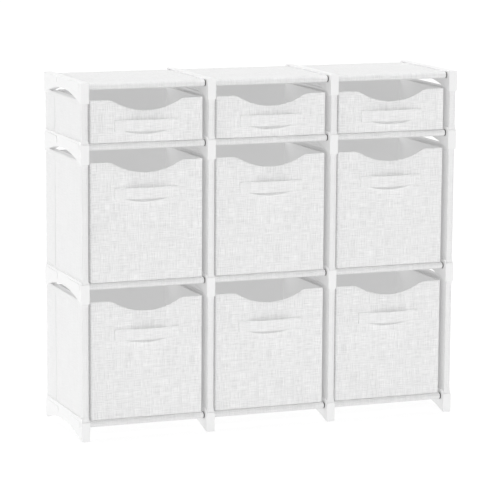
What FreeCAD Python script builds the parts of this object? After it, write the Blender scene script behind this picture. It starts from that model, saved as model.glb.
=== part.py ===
import FreeCAD, Part
import os

# Cube storage unit: three columns of bays, two full storeys under a half-height one.
# Moulded side brackets stack on sleeved posts and carry covered shelves; each bay holds a fabric bin.
# Millimetres. +X to the right, +Y to the back, +Z up. The origin is the middle of the footprint on the floor.

# ---- Layout ---------------------------------------------------------------------------------------
COLUMNS = ("left", "centre", "right")
GABLES = ("left", "inner_left", "inner_right", "right")
LEVELS = ("foot", "lower", "upper", "top")
STOREYS = ("lower", "middle", "upper")
GABLE_PITCH = 328.0                      # centre to centre of neighbouring side frames
DEPTH = 305.0                            # front to back of a bracket
STOREY_RISE = (345.0, 345.0, 148.5)      # shelf top to shelf top, lowest storey first

# ---- Side brackets --------------------------------------------------------------------------------
BRACKET_WIDTH = 22.0
BRACKET_DROP = 48.0                      # shelf top down to the ends of the legs
BRACKET_EDGE = 1.6                       # rounding of the moulding's outline
ARCH_RISE = 24.0
TOE_LENGTH = 8.5                         # flat end of a leg, measured along the depth
CREST_HEIGHT = {"foot": 11.0, "lower": 8.0, "upper": 8.0}
CREST_SETBACK = 4.0                      # front face back to where the crest starts to rise
CROWN_HEIGHT = 3.0                       # top brackets stand this much above the top shelves

# ---- Posts and the fabric sleeves round them ------------------------------------------------------
SLEEVE_WIDTH = 17.0
SLEEVE_WALL = 1.5
SLEEVE_SETBACK = 2.0                     # bracket front back to the sleeve's front
SLEEVE_CORNER = 4.0
SLEEVE_TUCK = 8.0                        # length of sleeve hidden inside the legs above it
POST_LENGTH_IN_PLAN = 20.0               # post section along the depth
POST_WALL = 1.2
POST_CORNER = 2.5
LOWER_SOCKET = 18.0                      # socket in a bracket's top, for the foot of a post
UPPER_SOCKET = 22.0                      # socket in a leg, for the head of a post

# ---- Shelves --------------------------------------------------------------------------------------
SHELF_THICKNESS = 16.5
SHELF_SETBACK = 13.0                     # bracket front back to the shelf's rounded nose
SHELF_END_GAP = 2.2
TONGUE_LENGTH = 72.0
TONGUE_THICKNESS = 12.0
TONGUE_REACH = 7.5                       # how far a tongue enters its bracket
SOCKET_WALL = 1.5                        # plastic left between a tongue's socket and a post's

# ---- Snap-in covers over the sockets that hold no shelf -------------------------------------------
COVER_LENGTH = 98.0
COVER_HEIGHT = 19.0
COVER_SETBACK = 12.5                     # bracket front back to the end of a cover
COVER_RECESS = 1.2
COVER_PROUD = 0.8
COVER_GAP = 0.7                          # groove left all round a cover

# ---- Bins -----------------------------------------------------------------------------------------
BIN_WIDTH = 292.0
BIN_SETBACK = 17.0                       # bracket front back to the bin's front panel
BIN_REAR_SETBACK = 20.0
BIN_HEADROOM = (46.5, 46.5, 42.0)        # rim up to the shelf top above it, lowest storey first
BIN_WALL = 3.0
BIN_CORNER = 4.0
BIN_LIFT = 0.5                           # running clearance over the shelf
SCOOP_WIDTH = 206.0
SCOOP_DEPTH = 28.0
SCOOP_RADIUS = 165.0
BOARD_THICKNESS = 3.0

# ---- Strap handles --------------------------------------------------------------------------------
STRAP_WIDTH = 27.0
STRAP_THICKNESS = 2.0
STRAP_LENGTH = 169.0
PATCH_LENGTH = 30.0
STRAP_BOW = 11.0                         # outward bow of the strap between its sewn ends
STRAP_DROP = (86.0, 78.5, 64.0)          # rim down to the strap's middle, lowest storey first

# ---- Fits -----------------------------------------------------------------------------------------
SLIP_FIT = 0.25                          # each side of a tongue or a sleeve
POST_FIT = 0.2                           # each side of a post in its socket
BOARD_FIT = 1.0                          # each side of a base board in its bin

# ---- Sizes that follow ----------------------------------------------------------------------------
SHELF_TOPS = [BRACKET_DROP + sum(STOREY_RISE[:level]) for level in range(len(LEVELS))]
GABLE_X = [(index - (len(GABLES) - 1) / 2) * GABLE_PITCH for index in range(len(GABLES))]
COLUMN_X = [(index - (len(COLUMNS) - 1) / 2) * GABLE_PITCH for index in range(len(COLUMNS))]
FRONT = -DEPTH / 2
HALF_WIDTH = BRACKET_WIDTH / 2
POST_WIDTH = SLEEVE_WIDTH - 2 * (SLEEVE_WALL + POST_FIT)
POST_Y = DEPTH / 2 - SLEEVE_SETBACK - SLEEVE_WALL - POST_FIT - POST_LENGTH_IN_PLAN / 2
COVER_Y = DEPTH / 2 - COVER_SETBACK - COVER_LENGTH / 2
TONGUE_END = POST_Y - POST_LENGTH_IN_PLAN / 2 - POST_FIT - SOCKET_WALL - SLIP_FIT
TONGUE_Y = TONGUE_END - TONGUE_LENGTH / 2
SOCKET_Z = -SHELF_THICKNESS / 2
BIN_DEPTH = DEPTH - BIN_SETBACK - BIN_REAR_SETBACK
BIN_Y = FRONT + BIN_SETBACK + BIN_DEPTH / 2


# ---- Plain shapes ---------------------------------------------------------------------------------
def block(width, depth, height, x, y, z):
    """A box centred on x and y, standing on z."""
    return Part.makeBox(width, depth, height, FreeCAD.Vector(x - width / 2, y - depth / 2, z))


def rounded_block(width, depth, height, radius, x, y, z):
    """A box with its four upright edges rounded."""
    solid = block(width, depth, height, x, y, z)
    upright = [edge for edge in solid.Edges if abs(edge.tangentAt(edge.FirstParameter).z) > 0.99]
    return solid.makeFillet(radius, upright)


def lozenge(length, height, start_x, end_x, y, z):
    """A bar along X whose section has straight top and bottom and half-round ends."""
    radius = height / 2
    reach = length / 2 - radius
    front_low = FreeCAD.Vector(start_x, y - reach, z - radius)
    front_tip = FreeCAD.Vector(start_x, y - length / 2, z)
    front_high = FreeCAD.Vector(start_x, y - reach, z + radius)
    back_low = FreeCAD.Vector(start_x, y + reach, z - radius)
    back_tip = FreeCAD.Vector(start_x, y + length / 2, z)
    back_high = FreeCAD.Vector(start_x, y + reach, z + radius)
    edges = [
        Part.makeLine(front_low, back_low),
        Part.Arc(back_low, back_tip, back_high).toShape(),
        Part.makeLine(back_high, front_high),
        Part.Arc(front_high, front_tip, front_low).toShape(),
    ]
    return Part.Face(Part.Wire(edges)).extrude(FreeCAD.Vector(end_x - start_x, 0, 0))


def outline_solid(edges, direction):
    """Close a list of edges into a face and extrude it."""
    return Part.Face(Part.Wire(edges)).extrude(direction)


def moved(shape, x, y, z):
    """A copy of a shape, moved."""
    copy = shape.copy()
    copy.translate(FreeCAD.Vector(x, y, z))
    return copy


# ---- Side brackets --------------------------------------------------------------------------------
def bracket_top_edges(level):
    """The upper edge of a bracket's side view, from the back to the front, at shelf-top height 0."""
    x = -HALF_WIDTH
    if level == "top":
        back = FreeCAD.Vector(x, -FRONT, CROWN_HEIGHT)
        front = FreeCAD.Vector(x, FRONT, CROWN_HEIGHT)
        return [Part.makeLine(back, front)], back, front
    crest = CREST_HEIGHT[level]
    start = -FRONT - CREST_SETBACK
    diagonal = crest * (1 - 0.5 ** 0.5)
    edges = []
    back = FreeCAD.Vector(x, -FRONT, 0)
    front = FreeCAD.Vector(x, FRONT, 0)
    rise_back = FreeCAD.Vector(x, start, 0)
    rise_front = FreeCAD.Vector(x, -start, 0)
    top_back = FreeCAD.Vector(x, start - crest, crest)
    top_front = FreeCAD.Vector(x, -start + crest, crest)
    round_back = FreeCAD.Vector(x, start - diagonal, crest - diagonal)
    round_front = FreeCAD.Vector(x, -start + diagonal, crest - diagonal)
    edges.append(Part.makeLine(back, rise_back))
    edges.append(Part.Arc(rise_back, round_back, top_back).toShape())
    edges.append(Part.makeLine(top_back, top_front))
    edges.append(Part.Arc(top_front, round_front, rise_front).toShape())
    edges.append(Part.makeLine(rise_front, front))
    return edges, back, front


def bracket_blank(level):
    """The bracket's outside: a rail with an arch under it, rounded along its outline."""
    x = -HALF_WIDTH
    top_edges, top_back, top_front = bracket_top_edges(level)
    low_front = FreeCAD.Vector(x, FRONT, -BRACKET_DROP)
    low_back = FreeCAD.Vector(x, -FRONT, -BRACKET_DROP)
    arch_front = FreeCAD.Vector(x, FRONT + TOE_LENGTH, -BRACKET_DROP)
    arch_back = FreeCAD.Vector(x, -FRONT - TOE_LENGTH, -BRACKET_DROP)
    arch_middle = FreeCAD.Vector(x, 0, ARCH_RISE - BRACKET_DROP)
    edges = [
        Part.makeLine(low_front, arch_front),
        Part.Arc(arch_front, arch_middle, arch_back).toShape(),
        Part.makeLine(arch_back, low_back),
        Part.makeLine(low_back, top_back),
    ] + top_edges + [Part.makeLine(top_front, low_front)]
    blank = outline_solid(edges, FreeCAD.Vector(BRACKET_WIDTH, 0, 0))
    outline = [edge for edge in blank.Edges if edge.BoundBox.XLength < 0.01]
    return blank.makeFillet(BRACKET_EDGE, outline)


def post_sockets(level):
    """What the posts above and below take out of a bracket."""
    cuts = []
    width = POST_WIDTH + 2 * POST_FIT
    length = POST_LENGTH_IN_PLAN + 2 * POST_FIT
    for y in (-POST_Y, POST_Y):
        if level != "top":
            cuts.append(block(width, length, LOWER_SOCKET + 1, 0, y, -LOWER_SOCKET))
        if level != "foot":
            cuts.append(block(width, length, UPPER_SOCKET + 1, 0, y, -BRACKET_DROP - 1))
    return cuts


def sleeve_slots(level):
    """What the fabric sleeves above and below take out of a bracket."""
    cuts = []
    width = SLEEVE_WIDTH + 2 * SLIP_FIT
    length = DEPTH - 2 * SLEEVE_SETBACK + 2 * SLIP_FIT
    if level != "top":
        cuts.append(block(width, length, CREST_HEIGHT[level] + 1, 0, 0, 0))
    if level != "foot":
        cuts.append(block(width, length, SLEEVE_TUCK + 1, 0, 0, -BRACKET_DROP - 1))
    return cuts


def shelf_sockets():
    """The shallow recess and the deep socket for a shelf, front and back, on both sides."""
    cuts = []
    socket_length = TONGUE_LENGTH + 2 * SLIP_FIT
    socket_height = TONGUE_THICKNESS + 2 * SLIP_FIT
    recess_x = HALF_WIDTH - COVER_RECESS
    socket_x = HALF_WIDTH - TONGUE_REACH - SLIP_FIT
    for side in (-1, 1):
        outside = side * (HALF_WIDTH + 1)
        for end in (-1, 1):
            cover_y = end * COVER_Y
            tongue_y = end * TONGUE_Y
            cuts.append(lozenge(COVER_LENGTH, COVER_HEIGHT, side * recess_x, outside, cover_y, SOCKET_Z))
            cuts.append(lozenge(socket_length, socket_height, side * socket_x, outside, tongue_y, SOCKET_Z))
    return cuts


def side_bracket(level):
    """One moulded bracket, its shelf-top height at 0 and its side frame at x = 0."""
    cuts = post_sockets(level) + sleeve_slots(level) + shelf_sockets()
    return bracket_blank(level).cut(Part.makeCompound(cuts)).removeSplitter()


def socket_cover(side, end):
    """A cover that snaps into one socket of an outer face; side and end are -1 or 1."""
    recess_x = HALF_WIDTH - COVER_RECESS
    plate_length = COVER_LENGTH - 2 * COVER_GAP
    plate_height = COVER_HEIGHT - 2 * COVER_GAP
    outer_x = HALF_WIDTH + COVER_PROUD
    inner_x = HALF_WIDTH - TONGUE_REACH
    cover_y = end * COVER_Y
    tongue_y = end * TONGUE_Y
    plate = lozenge(plate_length, plate_height, side * recess_x, side * outer_x, cover_y, SOCKET_Z)
    plug = lozenge(TONGUE_LENGTH, TONGUE_THICKNESS, side * inner_x, side * recess_x, tongue_y, SOCKET_Z)
    return plate.fuse(plug).removeSplitter()


# ---- Posts, sleeves and shelves -------------------------------------------------------------------
def post(storey, gable_x, y):
    """A rectangular tube that plugs into the bracket below it and the leg above it."""
    foot = SHELF_TOPS[storey] - LOWER_SOCKET + POST_FIT
    head = SHELF_TOPS[storey + 1] - BRACKET_DROP + UPPER_SOCKET - POST_FIT
    height = head - foot
    bore_width = POST_WIDTH - 2 * POST_WALL
    bore_length = POST_LENGTH_IN_PLAN - 2 * POST_WALL
    tube = rounded_block(POST_WIDTH, POST_LENGTH_IN_PLAN, height, POST_CORNER, gable_x, y, foot)
    bore = rounded_block(bore_width, bore_length, height, POST_CORNER - POST_WALL, gable_x, y, foot)
    return tube.cut(bore)


def side_sleeve(storey, gable_x):
    """The flat fabric tube drawn over a front and a back post: it makes a bay's side wall."""
    foot = SHELF_TOPS[storey] + SLIP_FIT
    head = SHELF_TOPS[storey + 1] - BRACKET_DROP + SLEEVE_TUCK - SLIP_FIT
    length = DEPTH - 2 * SLEEVE_SETBACK
    inner_width = SLEEVE_WIDTH - 2 * SLEEVE_WALL
    inner_length = length - 2 * SLEEVE_WALL
    outside = rounded_block(SLEEVE_WIDTH, length, head - foot, SLEEVE_CORNER, gable_x, 0, foot)
    corner = SLEEVE_CORNER - SLEEVE_WALL
    inside = rounded_block(inner_width, inner_length, head - foot, corner, gable_x, 0, foot)
    return outside.cut(inside)


def shelf(level, column_x):
    """A covered board with a half-round nose and four tongues."""
    z = SHELF_TOPS[level] + SOCKET_Z
    clear_half = (GABLE_PITCH - BRACKET_WIDTH) / 2
    body_half = clear_half - SHELF_END_GAP
    tongue_half = clear_half + TONGUE_REACH
    length = DEPTH - 2 * SHELF_SETBACK
    solid = lozenge(length, SHELF_THICKNESS, column_x - body_half, column_x + body_half, 0, z)
    for y in (-TONGUE_Y, TONGUE_Y):
        start_x = column_x - tongue_half
        end_x = column_x + tongue_half
        solid = solid.fuse(lozenge(TONGUE_LENGTH, TONGUE_THICKNESS, start_x, end_x, y, z))
    return solid.removeSplitter()


# ---- Bins -----------------------------------------------------------------------------------------
def bin_floor(storey):
    """Height of the underside of a storey's bins."""
    return SHELF_TOPS[storey] + BIN_LIFT


def bin_rim(storey):
    """Height of the rim of a storey's bins."""
    return SHELF_TOPS[storey + 1] - BIN_HEADROOM[storey]


def scoop(column_x, y, rim_z, thickness):
    """The dip in a front panel: one wide arc that runs out to the rim through two small ones."""
    half = SCOOP_WIDTH / 2
    slope = SCOOP_DEPTH / half
    total_radius = (half ** 2 + SCOOP_DEPTH ** 2) / (2 * SCOOP_DEPTH)
    shoulder_radius = total_radius - SCOOP_RADIUS
    sine = 2 * slope / (1 + slope ** 2)
    cosine = (1 - slope ** 2) / (1 + slope ** 2)
    join_x = SCOOP_RADIUS * sine
    join_z = rim_z - SCOOP_DEPTH + SCOOP_RADIUS * (1 - cosine)
    half_sine = slope / (1 + slope ** 2) ** 0.5
    half_cosine = 1 / (1 + slope ** 2) ** 0.5
    bend_x = half - shoulder_radius * half_sine
    bend_z = rim_z - shoulder_radius * (1 - half_cosine)
    low = FreeCAD.Vector(column_x, y, rim_z - SCOOP_DEPTH)
    left_join = FreeCAD.Vector(column_x - join_x, y, join_z)
    right_join = FreeCAD.Vector(column_x + join_x, y, join_z)
    left_bend = FreeCAD.Vector(column_x - bend_x, y, bend_z)
    right_bend = FreeCAD.Vector(column_x + bend_x, y, bend_z)
    left_end = FreeCAD.Vector(column_x - half, y, rim_z)
    right_end = FreeCAD.Vector(column_x + half, y, rim_z)
    edges = [
        Part.Arc(left_end, left_bend, left_join).toShape(),
        Part.Arc(left_join, low, right_join).toShape(),
        Part.Arc(right_join, right_bend, right_end).toShape(),
        Part.makeLine(right_end, left_end),
    ]
    return outline_solid(edges, FreeCAD.Vector(0, thickness, 0))


def bin_shell(storey, column_x):
    """The sewn box of a bin: four walls and a floor, with the scoop in the front wall."""
    floor_z = bin_floor(storey)
    rim_z = bin_rim(storey)
    height = rim_z - floor_z
    outside = rounded_block(BIN_WIDTH, BIN_DEPTH, height, BIN_CORNER, column_x, BIN_Y, floor_z)
    inner_width = BIN_WIDTH - 2 * BIN_WALL
    inner_depth = BIN_DEPTH - 2 * BIN_WALL
    inner_corner = BIN_CORNER - BIN_WALL
    inside_z = floor_z + BIN_WALL
    inside = rounded_block(inner_width, inner_depth, height, inner_corner, column_x, BIN_Y, inside_z)
    dip = scoop(column_x, FRONT + BIN_SETBACK - 1, rim_z, BIN_WALL + 2)
    return outside.cut(inside).cut(dip)


def bin_board(storey, column_x):
    """The loose stiff board that lies on a bin's floor."""
    width = BIN_WIDTH - 2 * BIN_WALL - 2 * BOARD_FIT
    depth = BIN_DEPTH - 2 * BIN_WALL - 2 * BOARD_FIT
    return block(width, depth, BOARD_THICKNESS, column_x, BIN_Y, bin_floor(storey) + BIN_WALL)


def strap_handle(storey, column_x):
    """A flat strap sewn to the front panel at both ends and bowed outwards between them."""
    panel_y = FRONT + BIN_SETBACK
    low_z = bin_rim(storey) - STRAP_DROP[storey] - STRAP_WIDTH / 2
    half = STRAP_LENGTH / 2
    span = half - PATCH_LENGTH
    crest_y = panel_y - STRAP_BOW
    inner = [(-span, panel_y), (0, crest_y), (span, panel_y)]
    outer = [(span, panel_y - STRAP_THICKNESS), (0, crest_y - STRAP_THICKNESS), (-span, panel_y - STRAP_THICKNESS)]
    inner = [FreeCAD.Vector(column_x + x, y, low_z) for x, y in inner]
    outer = [FreeCAD.Vector(column_x + x, y, low_z) for x, y in outer]
    right_end = FreeCAD.Vector(column_x + half, panel_y, low_z)
    left_end = FreeCAD.Vector(column_x - half, panel_y, low_z)
    right_face = FreeCAD.Vector(column_x + half, panel_y - STRAP_THICKNESS, low_z)
    left_face = FreeCAD.Vector(column_x - half, panel_y - STRAP_THICKNESS, low_z)
    edges = [
        Part.makeLine(left_end, inner[0]),
        Part.Arc(*inner).toShape(),
        Part.makeLine(inner[2], right_end),
        Part.makeLine(right_end, right_face),
        Part.makeLine(right_face, outer[0]),
        Part.Arc(*outer).toShape(),
        Part.makeLine(outer[2], left_face),
        Part.makeLine(left_face, left_end),
    ]
    return outline_solid(edges, FreeCAD.Vector(0, 0, STRAP_WIDTH))


# ---- Writing the pieces ---------------------------------------------------------------------------
def write(name, *solids):
    """Write one node: a single solid, or a group of like ones."""
    shape = solids[0] if len(solids) == 1 else Part.makeCompound(list(solids))
    shape.exportStep(f"parts/{name}.step")


def write_frame():
    """Brackets, covers, posts, sleeves and shelves."""
    for level, level_name in enumerate(LEVELS):
        bracket = side_bracket(level_name)
        for gable_x, gable_name in zip(GABLE_X, GABLES):
            write(f"{level_name}_bracket_{gable_name}", moved(bracket, gable_x, 0, SHELF_TOPS[level]))
        for column_x, column_name in zip(COLUMN_X, COLUMNS):
            write(f"{level_name}_shelf_{column_name}", shelf(level, column_x))
    covers = []
    for side, gable_x in ((-1, GABLE_X[0]), (1, GABLE_X[-1])):
        for top in SHELF_TOPS:
            for end in (-1, 1):
                covers.append(moved(socket_cover(side, end), gable_x, 0, top))
    write("socket_covers", *covers)
    posts = []
    for storey, storey_name in enumerate(STOREYS):
        write(f"{storey_name}_side_sleeves", *[side_sleeve(storey, gable_x) for gable_x in GABLE_X])
        for gable_x in GABLE_X:
            posts.append(post(storey, gable_x, -POST_Y))
            posts.append(post(storey, gable_x, POST_Y))
    write("posts", *posts)


def write_bins():
    """A shell, a base board and a strap handle for each bay."""
    for storey, storey_name in enumerate(STOREYS):
        for column_x, column_name in zip(COLUMN_X, COLUMNS):
            name = f"{storey_name}_bin_{column_name}"
            write(f"{name}_shell", bin_shell(storey, column_x))
            write(f"{name}_board", bin_board(storey, column_x))
            write(f"{name}_handle", strap_handle(storey, column_x))


os.makedirs("parts", exist_ok=True)
write_frame()
write_bins()
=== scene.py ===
"""Looks of the cube storage unit: woven bins, fabric sleeves, covered shelves and moulded brackets.

Lengths are metres. +X is to the unit's right, +Y to its back and +Z up; the origin is on the floor.
"""

import logging
import math
from collections.abc import Callable, Sequence
from dataclasses import dataclass, field
from enum import Enum
from typing import Any

import bpy
from mathutils import Matrix, Vector, noise

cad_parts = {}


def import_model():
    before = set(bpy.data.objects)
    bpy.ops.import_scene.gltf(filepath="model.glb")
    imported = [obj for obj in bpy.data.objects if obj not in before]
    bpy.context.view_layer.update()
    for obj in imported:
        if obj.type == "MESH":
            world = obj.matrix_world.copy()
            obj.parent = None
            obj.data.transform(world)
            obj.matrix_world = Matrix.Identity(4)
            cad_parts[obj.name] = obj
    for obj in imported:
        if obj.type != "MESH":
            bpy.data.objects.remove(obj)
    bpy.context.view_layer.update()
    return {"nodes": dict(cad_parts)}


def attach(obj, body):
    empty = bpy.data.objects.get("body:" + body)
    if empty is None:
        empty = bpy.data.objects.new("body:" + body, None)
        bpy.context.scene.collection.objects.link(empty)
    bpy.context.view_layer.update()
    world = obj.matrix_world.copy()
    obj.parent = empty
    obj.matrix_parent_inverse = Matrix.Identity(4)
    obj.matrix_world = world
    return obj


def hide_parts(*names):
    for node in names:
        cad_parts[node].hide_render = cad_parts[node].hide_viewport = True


log = logging.getLogger("unit")
MM = 0.001
CLEAR = 0.1 * MM
CLOTH_MAP = "cloth"
STITCH_SPREAD = (0.86, 1.08)


# ---- What the unit is made up of ----
class Column(Enum):
    """A stack of bays, and the x of its middle."""

    LEFT = -0.328
    CENTRE = 0.0
    RIGHT = 0.328


class Gable(Enum):
    """A side frame, and the x of its middle."""

    LEFT = -0.492
    INNER_LEFT = -0.164
    INNER_RIGHT = 0.164
    RIGHT = 0.492


class Level(Enum):
    """A row of shelves, and the height of their tops."""

    FOOT = 0.048
    LOWER = 0.393
    UPPER = 0.738
    TOP = 0.8865


class Storey(Enum):
    """A row of bays: the shelves under and over it, and the heights of the bins' rim and straps."""

    LOWER = (Level.FOOT, Level.LOWER, 0.3465, 0.2605)
    MIDDLE = (Level.LOWER, Level.UPPER, 0.6915, 0.6130)
    UPPER = (Level.UPPER, Level.TOP, 0.8445, 0.7805)

    def __init__(self, under: Level, over: Level, rim: float, strap: float) -> None:
        """Name the four heights."""
        self.floor, self.ceiling, self.rim, self.strap = under.value, over.value, rim, strap


# ---- Meshes ----
@dataclass
class Draft:
    """A mesh being drawn: its points, and its faces with their cloth coordinates and their finish."""

    points: list[Vector] = field(default_factory=list)
    faces: list[list[int]] = field(default_factory=list)
    cloth: list[list[tuple[float, float]]] = field(default_factory=list)
    finish: list[int] = field(default_factory=list)

    def face(self, corners: list[int], cloth: list[tuple[float, float]], finish: int) -> None:
        """Add one face.

        Args:
            corners: Indices of its points, anticlockwise from outside.
            cloth: The place of each corner on the cloth, in metres.
            finish: Which of the piece's materials it has.
        """
        self.faces.append(corners)
        self.cloth.append(cloth)
        self.finish.append(finish)

    def skin(self, rings: Sequence[Sequence[Vector]], across: Sequence[float],
             along: Sequence[Sequence[float]], finishes: Sequence[int],
             ends: tuple[int, int] | None = None) -> None:
        """Stretch a skin over closed rings of points.

        Args:
            rings: The rings in order, each with the same number of points.
            across: Distance round a ring of each point, and of the first again at the end.
            along: For each ring, the distance along the skin of each point.
            finishes: The finish of each band between two rings.
            ends: The two axes that its flat ends lie along. Without them its last ring joins its
                first, and along gives the first ring again at the end.
        """
        count = len(rings[0])
        numbers = []
        for ring in rings:
            numbers.append(list(range(len(self.points), len(self.points) + count)))
            self.points.extend(ring)
        onward = numbers[1:] if ends else numbers[1:] + numbers[:1]
        for band, (low, high) in enumerate(zip(numbers, onward)):
            for i in range(count):
                j = (i + 1) % count
                cloth = [(across[i], along[band][i]), (across[i + 1], along[band][j]),
                         (across[i + 1], along[band + 1][j]), (across[i], along[band + 1][i])]
                self.face([low[i], low[j], high[j], high[i]], cloth, finishes[band])
        if ends:
            self.cap(numbers[0], ends, finishes[0], flip=True)
            self.cap(numbers[-1], ends, finishes[-1])

    def cap(self, ring: Sequence[int], axes: tuple[int, int], finish: int, flip: bool = False) -> None:
        """Close a flat ring with one face.

        Args:
            ring: Indices of the ring's points.
            axes: The two axes that the face lies along.
            finish: Which of the piece's materials it has.
            flip: Whether the face looks the other way from the ring's own turn.
        """
        corners = list(reversed(ring)) if flip else list(ring)
        cloth = [(self.points[i][axes[0]], self.points[i][axes[1]]) for i in corners]
        self.face(corners, cloth, finish)

    def build(self, name: str, materials: Sequence[bpy.types.Material],
              crease: float = 50.0) -> bpy.types.Object:
        """Make the object.

        Args:
            name: The piece's name.
            materials: The piece's finishes, in the order that its faces name them.
            crease: Edges that turn by more than this many degrees are shaded sharp.

        Returns:
            The new object, at the origin.
        """
        mesh = bpy.data.meshes.new(name)
        mesh.from_pydata(self.points, [], self.faces)
        layer = mesh.uv_layers.new(name=CLOTH_MAP)
        flat = [corner for face in self.cloth for corner in face]
        for loop, place in zip(layer.data, flat):
            loop.uv = place
        for polygon, finish in zip(mesh.polygons, self.finish):
            polygon.material_index = finish
            polygon.use_smooth = True
        for material in materials:
            mesh.materials.append(material)
        mesh.set_sharp_from_angle(angle=math.radians(crease))
        mesh.update()
        return link(name, mesh)


def link(name: str, mesh: bpy.types.Mesh) -> bpy.types.Object:
    """Put a mesh in the scene as a new object."""
    made = bpy.data.objects.new(name, mesh)
    bpy.context.scene.collection.objects.link(made)
    return made


def running_total(points: Sequence[Vector], closed: bool = True) -> list[float]:
    """Distance along a line of points to each of them, and back to the first when it is closed."""
    total = [0.0]
    last = len(points) if closed else len(points) - 1
    for i in range(last):
        total.append(total[-1] + (points[(i + 1) % len(points)] - points[i]).length)
    return total


def clamp(value: float) -> float:
    """A value held between 0 and 1."""
    return min(1.0, max(0.0, value))


def ease(value: float) -> float:
    """A smooth step from 0 to 1."""
    held = clamp(value)
    return held * held * (3 - 2 * held)


@dataclass(frozen=True)
class Station:
    """A place on the outline of a rounded oblong, seen from above.

    Attributes:
        x: Its x.
        y: Its y.
        out: The direction away from the oblong.
        side: 0 front, 1 right, 2 back, 3 left.
        share: How far along that side it is, from 0 to 1; -1 on a corner.
    """

    x: float
    y: float
    out: Vector
    side: int
    share: float

    def at(self, inset: float, z: float) -> Vector:
        """The point that lies inset inwards from the outline, at a height."""
        return Vector((self.x - self.out.x * inset, self.y - self.out.y * inset, z))


def oblong(centre: tuple[float, float], width: float, depth: float, corner: float,
           shares: Sequence[Sequence[float]], corner_steps: int = 4) -> list[Station]:
    """The outline of a rounded oblong, anticlockwise from the front left.

    Args:
        centre: x and y of its middle.
        width: Its size along x.
        depth: Its size along y.
        corner: The radius of its corners.
        shares: For each of the four sides, where its stations are, from 0 to 1.
        corner_steps: How many steps turn a corner.

    Returns:
        Its stations.
    """
    stations = []
    outs = (Vector((0, -1, 0)), Vector((1, 0, 0)), Vector((0, 1, 0)), Vector((-1, 0, 0)))
    for side, out in enumerate(outs):
        onward = Vector((-out.y, out.x, 0))
        half = (width if side % 2 == 0 else depth) / 2 - corner
        reach = (depth if side % 2 == 0 else width) / 2
        for share in shares[side]:
            place = out * reach + onward * half * (2 * share - 1)
            stations.append(Station(centre[0] + place.x, centre[1] + place.y, out, side, share))
        pivot = out * (reach - corner) + onward * half
        for step in range(1, corner_steps):
            turn = math.pi / 2 * step / corner_steps
            away = out * math.cos(turn) + onward * math.sin(turn)
            place = pivot + away * corner
            stations.append(Station(centre[0] + place.x, centre[1] + place.y, away, side, -1.0))
    return stations


def even(count: int) -> list[float]:
    """Shares from 0 to 1 in even steps."""
    return [step / count for step in range(count + 1)]


def with_ridge(shares: Sequence[float], place: float, length: float, steps: Sequence[float]) -> list[float]:
    """Shares with more stations round a ridge.

    Args:
        shares: The stations that are there already.
        place: The share at which the ridge lies.
        length: The length of the side.
        steps: Distances from the ridge of the stations to add.

    Returns:
        The shares in order.
    """
    near = [place + step / length for step in steps]
    clear = 0.3 * MM / length
    kept = [share for share in shares if not near[0] - clear < share < near[-1] + clear]
    return sorted(kept + near)


# ---- Finishes ----
Feed = Any


class Wire:
    """A value inside a finish, which can take part in sums."""

    def __init__(self, bench: "Bench", socket: bpy.types.NodeSocket) -> None:
        """Hold one output of a node."""
        self.bench = bench
        self.socket = socket

    def join(self, operation: str, first: Feed, second: Feed = 0.0) -> "Wire":
        """Add a Math node and give its result."""
        made = self.bench.node("ShaderNodeMath", {"operation": operation}, {0: first, 1: second})
        return Wire(self.bench, made.outputs[0])

    def __add__(self, other: Feed) -> "Wire":
        """self + other."""
        return self.join("ADD", self, other)

    __radd__ = __add__

    def __sub__(self, other: Feed) -> "Wire":
        """self - other."""
        return self.join("SUBTRACT", self, other)

    def __rsub__(self, other: Feed) -> "Wire":
        """other - self."""
        return self.join("SUBTRACT", other, self)

    def __mul__(self, other: Feed) -> "Wire":
        """self * other."""
        return self.join("MULTIPLY", self, other)

    __rmul__ = __mul__

    def sine(self) -> "Wire":
        """The sine of self, in radians."""
        return self.join("SINE", self)

    def size(self) -> "Wire":
        """self without its sign."""
        return self.join("ABSOLUTE", self)


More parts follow.
